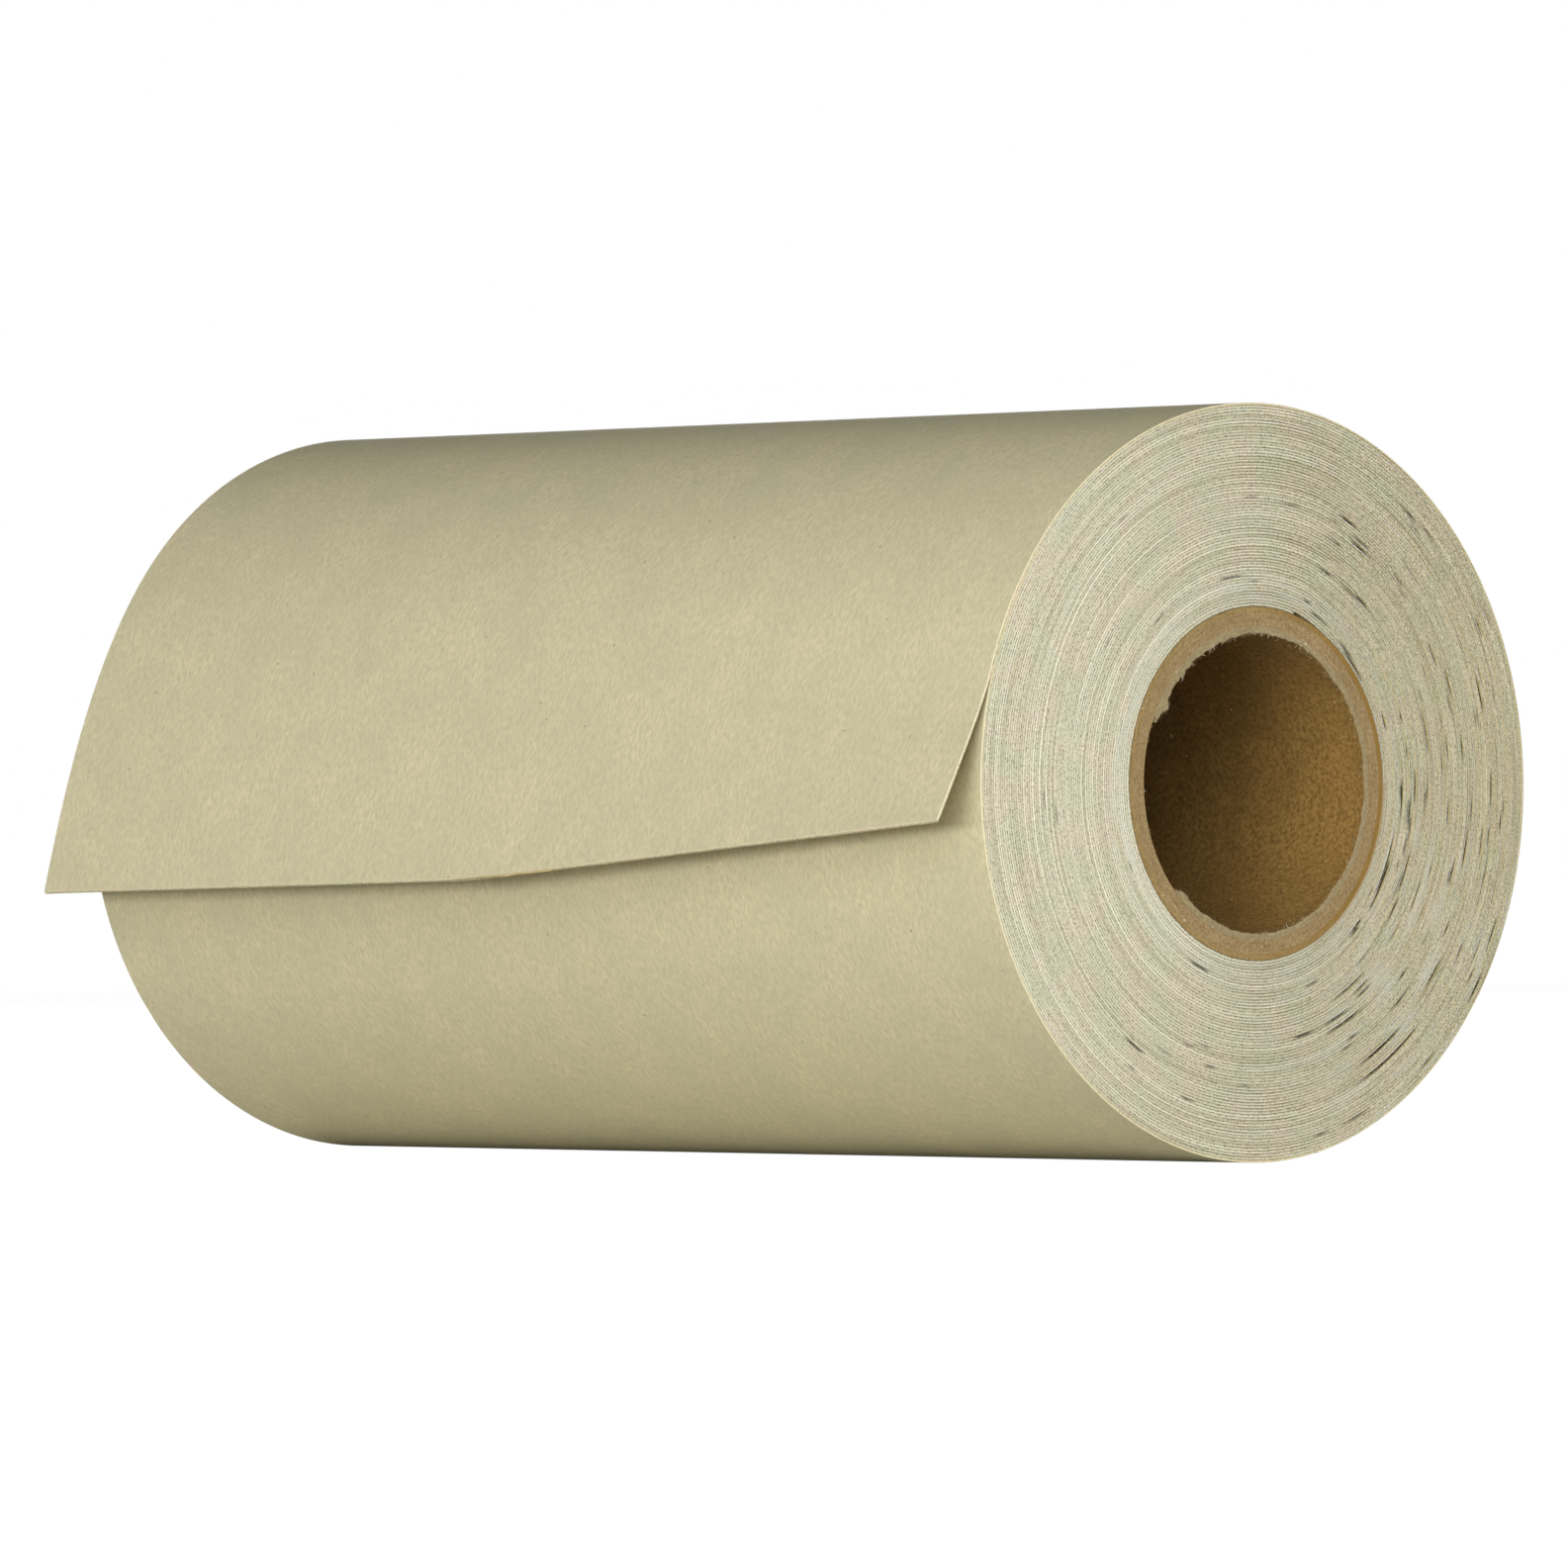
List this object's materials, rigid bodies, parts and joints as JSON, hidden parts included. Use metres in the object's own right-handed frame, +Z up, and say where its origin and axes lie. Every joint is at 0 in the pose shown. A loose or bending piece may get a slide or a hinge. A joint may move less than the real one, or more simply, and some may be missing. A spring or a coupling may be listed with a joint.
{
  "type": "masking tape roll",
  "caption": "Wide masking tape wound on a spiral-wound board core, with a loose leader that lifts off the front of the roll and peels back.",
  "frame": {"origin": "on the surface that the roll lies on, below the middle of its axis", "axes": "+X along the roll's axis, -Y towards the side where the leader hangs, +Z up"},
  "size_m": [0.115, 0.069, 0.0634],
  "materials": {
    "strip_paper": "matte, faintly mottled",
    "strip_edges": "cut edges, grainy",
    "core_kraft": "raw kraft board",
    "core_board": "raw grey-tan board"
  },
  "bodies": {
    "roll": {"core_inner_ply": "core_kraft", "core_body_ply_1": "core_board", "core_body_ply_2": "core_board", "core_outer_ply": "core_kraft", "wound_turns": "strip_edges", "outer_turn": "strip_paper"},
    "leader_root": {"leader_root": "strip_paper"},
    "leader_middle": {"leader_middle": "strip_paper"},
    "leader_tip": {"leader_tip": "strip_paper"}
  },
  "joints": [
    {"name": "leader_root_peel", "type": "hinge", "parent": "roll", "child": "leader_root", "pos_m": [0, -0.02514, 0.05093], "axis": [-1, 0, 0], "range_deg": [0, 60], "stiffness_Nm_per_rad": 0.03},
    {"name": "leader_middle_bend", "type": "hinge", "parent": "leader_root", "child": "leader_middle", "pos_m": [0, -0.02935, 0.04381], "axis": [-1, 0, 0], "range_deg": [0, 60], "stiffness_Nm_per_rad": 0.03},
    {"name": "leader_tip_bend", "type": "hinge", "parent": "leader_middle", "child": "leader_tip", "pos_m": [0, -0.03296, 0.03534], "axis": [-1, 0, 0], "range_deg": [-24, 60], "stiffness_Nm_per_rad": 0.03}
  ]
}
